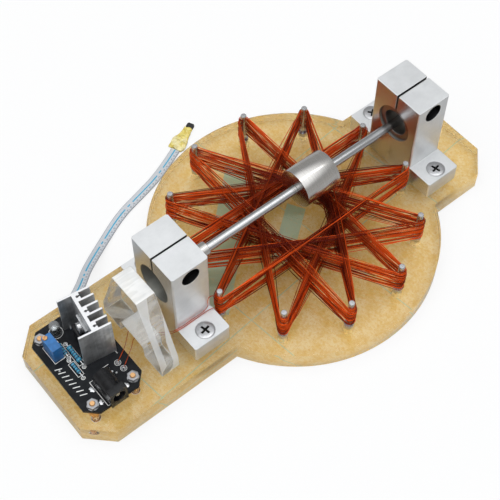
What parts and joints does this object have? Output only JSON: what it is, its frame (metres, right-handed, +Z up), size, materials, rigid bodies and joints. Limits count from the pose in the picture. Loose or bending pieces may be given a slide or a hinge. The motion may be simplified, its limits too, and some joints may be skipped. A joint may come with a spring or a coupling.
{
  "type": "demonstration electric motor",
  "caption": "Bar magnet on a steel shaft floats in ring magnets over a star-wound coil, on a clear plate with end stop, driver board and sensor lead.",
  "frame": {"origin": "on the underside of the masking paper that the motor stands on, below the centre of the ring of coil pins", "axes": "+X along the shaft, away from the circuit board; +Z up; +Y across the plate, towards the side where the sensor lead lies"},
  "size_m": [0.2503, 0.1645, 0.0612],
  "materials": {
    "masking_paper": "kraft paper",
    "clear_acrylic": "clear, polished edges",
    "bright_steel": "bright plated",
    "black_steel": "black oxide",
    "steel_shaft": "ground",
    "enamelled_wire": "red-orange enamel over copper",
    "bead_blasted_aluminium": "fine matt",
    "nickel_plate": "polished nickel",
    "brass": "plain brass",
    "black_board": "black solder mask with white line work",
    "black_anodised": "black anodised sides, bare ends",
    "tinned_metal": "tinned",
    "black_moulding": "moulded",
    "blue_moulding": "moulded",
    "clear_lens": "clear epoxy",
    "resistor_blue": "light blue lacquer, dark bands",
    "ribbon_insulation": "milky white with a blue dashed line",
    "yellow_tape": "thin yellow film"
  },
  "bodies": {
    "frame": {"base_plate": "clear_acrylic", "board_nuts": "bright_steel", "board_screws": "brass", "board_standoffs": "brass", "circuit_board": "black_board", "clamp_screws": "black_steel", "coil_lead_1": "enamelled_wire", "coil_lead_2": "enamelled_wire", "coil_pin_01": "bright_steel", "coil_pin_02": "bright_steel", "coil_pin_03": "bright_steel", "coil_pin_04": "bright_steel", "coil_pin_05": "bright_steel", "coil_pin_06": "bright_steel", "coil_pin_07": "bright_steel", "coil_pin_08": "bright_steel", "coil_pin_09": "bright_steel", "coil_pin_10": "bright_steel", "coil_pin_11": "bright_steel", "coil_pin_12": "bright_steel", "dc_jack": "black_moulding", "dc_jack_pin": "bright_steel", "dc_jack_tails": "bright_steel", "end_stop": "clear_acrylic", "hall_sensor": "black_moulding", "heat_sink": "black_anodised", "led": "clear_lens", "led_legs": "bright_steel", "left_support": "bead_blasted_aluminium", "masking_paper": "masking_paper", "resistor_1": "resistor_blue", "resistor_1_leads": "tinned_metal", "resistor_2": "resistor_blue", "resistor_2_leads": "tinned_metal", "resistor_3": "resistor_blue", "resistor_3_leads": "tinned_metal", "right_support": "bead_blasted_aluminium", "sensor_cable": "ribbon_insulation", "sensor_tape": "yellow_tape", "solder_joints": "tinned_metal", "star_coil": "enamelled_wire", "stator_rings": "nickel_plate", "support_screws": "bright_steel", "transistor_body": "black_moulding", "transistor_legs": "bright_steel", "transistor_screw": "bright_steel", "transistor_tab": "tinned_metal", "trimmer_body": "blue_moulding", "trimmer_legs": "bright_steel"},
    "rotor": {"shaft": "steel_shaft", "rotor_magnet": "nickel_plate", "shaft_rings": "nickel_plate"},
    "trimmer_adjuster": {"trimmer_screw": "brass"}
  },
  "joints": [
    {"name": "rotor_spin", "type": "hinge", "parent": "frame", "child": "rotor", "pos_m": [0.0097, 0, 0.0412], "axis": [1, 0, 0], "continuous": true},
    {"name": "trimmer_screw_turn", "type": "hinge", "parent": "frame", "child": "trimmer_adjuster", "pos_m": [-0.134, 0.0154, 0.026], "axis": [0, 0, 1], "range_deg": [-4500, 4500]}
  ]
}
